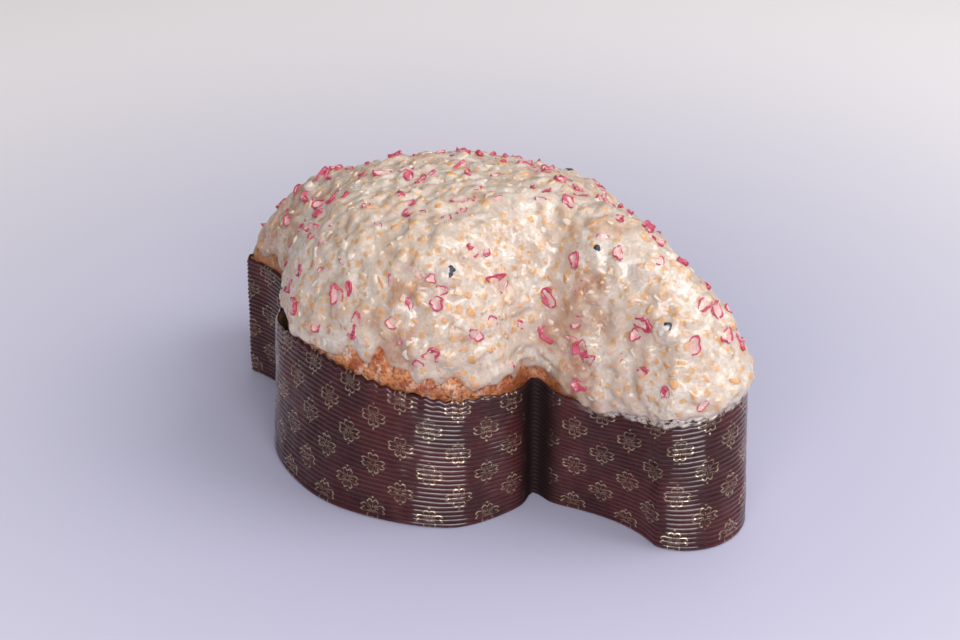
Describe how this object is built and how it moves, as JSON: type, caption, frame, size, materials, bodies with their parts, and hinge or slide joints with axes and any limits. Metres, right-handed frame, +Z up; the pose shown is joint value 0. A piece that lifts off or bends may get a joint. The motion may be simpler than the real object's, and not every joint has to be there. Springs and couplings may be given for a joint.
{
  "type": "colomba cake",
  "caption": "Dove-shaped Easter cake in a ridged paper case, domed and glazed, with fruit flakes, chopped nuts and berries set in the glaze.",
  "frame": {"origin": "under the middle of the case, on the table it stands on", "axes": "+X from the head of the dove to its tail, +Y towards the far wing, +Z up"},
  "size_m": [0.278, 0.1925, 0.1348],
  "materials": {
    "case_paper": "glossy ridged baking paper, burgundy brown with a gold flower print, tan inside",
    "crust": "browned crust, matt with a faint sheen",
    "icing": "creamy off-white glaze, glossy in places, over chopped nuts and pink fruit flakes",
    "berry": "dark blue-black dried berry, partly coated with glaze"
  },
  "bodies": {
    "root": {"paper_case": "case_paper", "case_base": "case_paper", "cake": "crust", "icing": "icing", "berry_1": "berry", "berry_2": "berry", "berry_3": "berry", "berry_4": "berry", "berry_5": "berry", "berry_6": "berry"}
  },
  "joints": []
}
